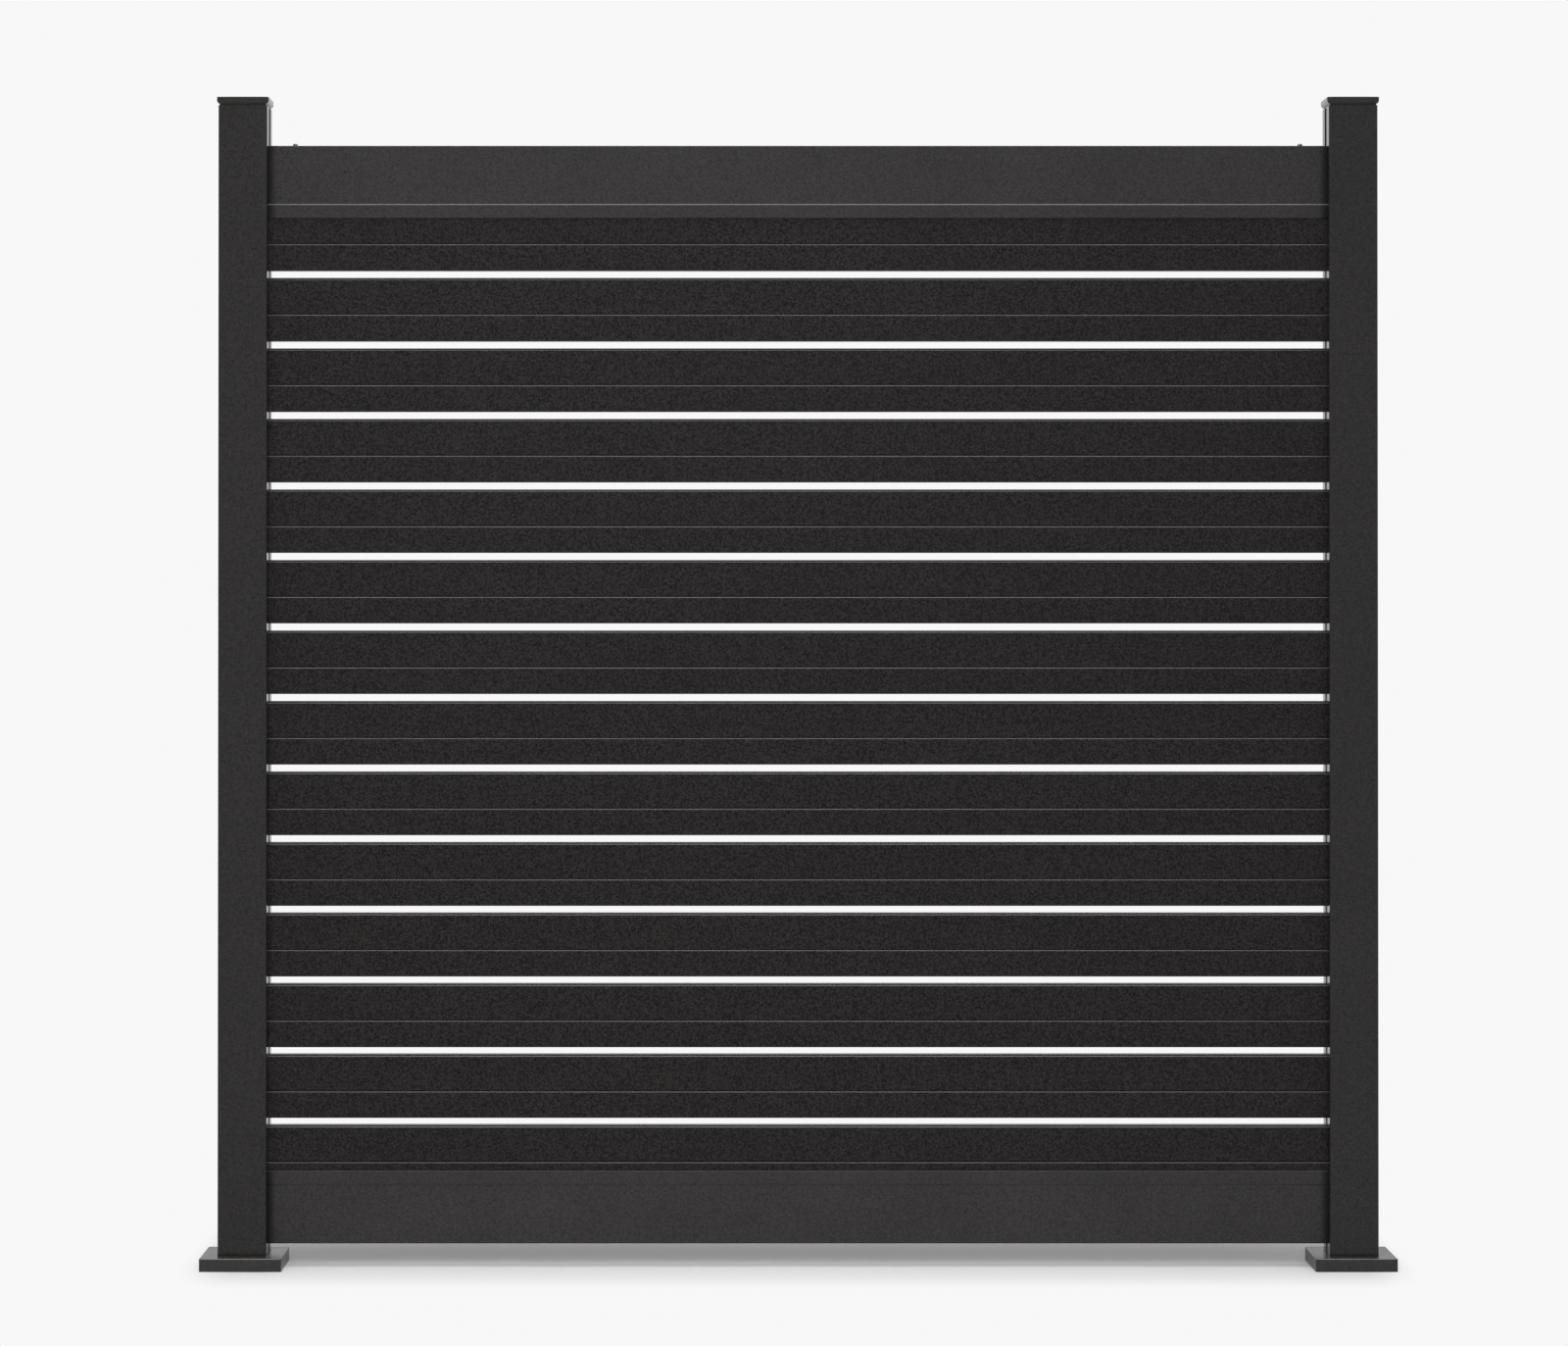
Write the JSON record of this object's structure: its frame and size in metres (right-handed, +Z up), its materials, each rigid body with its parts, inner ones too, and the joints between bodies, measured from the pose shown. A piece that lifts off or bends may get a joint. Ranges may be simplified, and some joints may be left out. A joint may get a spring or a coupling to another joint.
{
  "type": "aluminium slat fence panel",
  "caption": "Free-standing fence bay with horizontal grooved slats between a top and a bottom rail and two capped square posts on covered base plates.",
  "frame": {"origin": "centre of the left base plate's underside", "axes": "+X along the fence to the right post, -Y towards the viewer in front, +Z up"},
  "size_m": [1.836, 0.126, 1.8047],
  "materials": {
    "post_coating": "fine-textured matt black powder coat",
    "rail_coating": "fine-textured matt black powder coat",
    "slat_coating": "fine-textured matt black powder coat",
    "cap_coating": "fine-textured matt black powder coat",
    "cover_coating": "satin black powder coat",
    "plate_coating": "matt black powder coat",
    "spacer_plastic": "black moulded plastic"
  },
  "bodies": {
    "root": {"left_post": "post_coating", "right_post": "post_coating", "left_post_cap": "cap_coating", "right_post_cap": "cap_coating", "left_base_plate": "plate_coating", "right_base_plate": "plate_coating", "left_base_cover": "cover_coating", "right_base_cover": "cover_coating", "left_channel_cover": "post_coating", "right_channel_cover": "post_coating", "left_spacers": "spacer_plastic", "right_spacers": "spacer_plastic", "left_bottom_tongue": "plate_coating", "right_bottom_tongue": "plate_coating", "left_top_tongue": "plate_coating", "right_top_tongue": "plate_coating", "top_rail": "rail_coating", "bottom_rail": "rail_coating", "slat_01": "slat_coating", "slat_02": "slat_coating", "slat_03": "slat_coating", "slat_04": "slat_coating", "slat_05": "slat_coating", "slat_06": "slat_coating", "slat_07": "slat_coating", "slat_08": "slat_coating", "slat_09": "slat_coating", "slat_10": "slat_coating", "slat_11": "slat_coating", "slat_12": "slat_coating", "slat_13": "slat_coating", "slat_14": "slat_coating"}
  },
  "joints": []
}
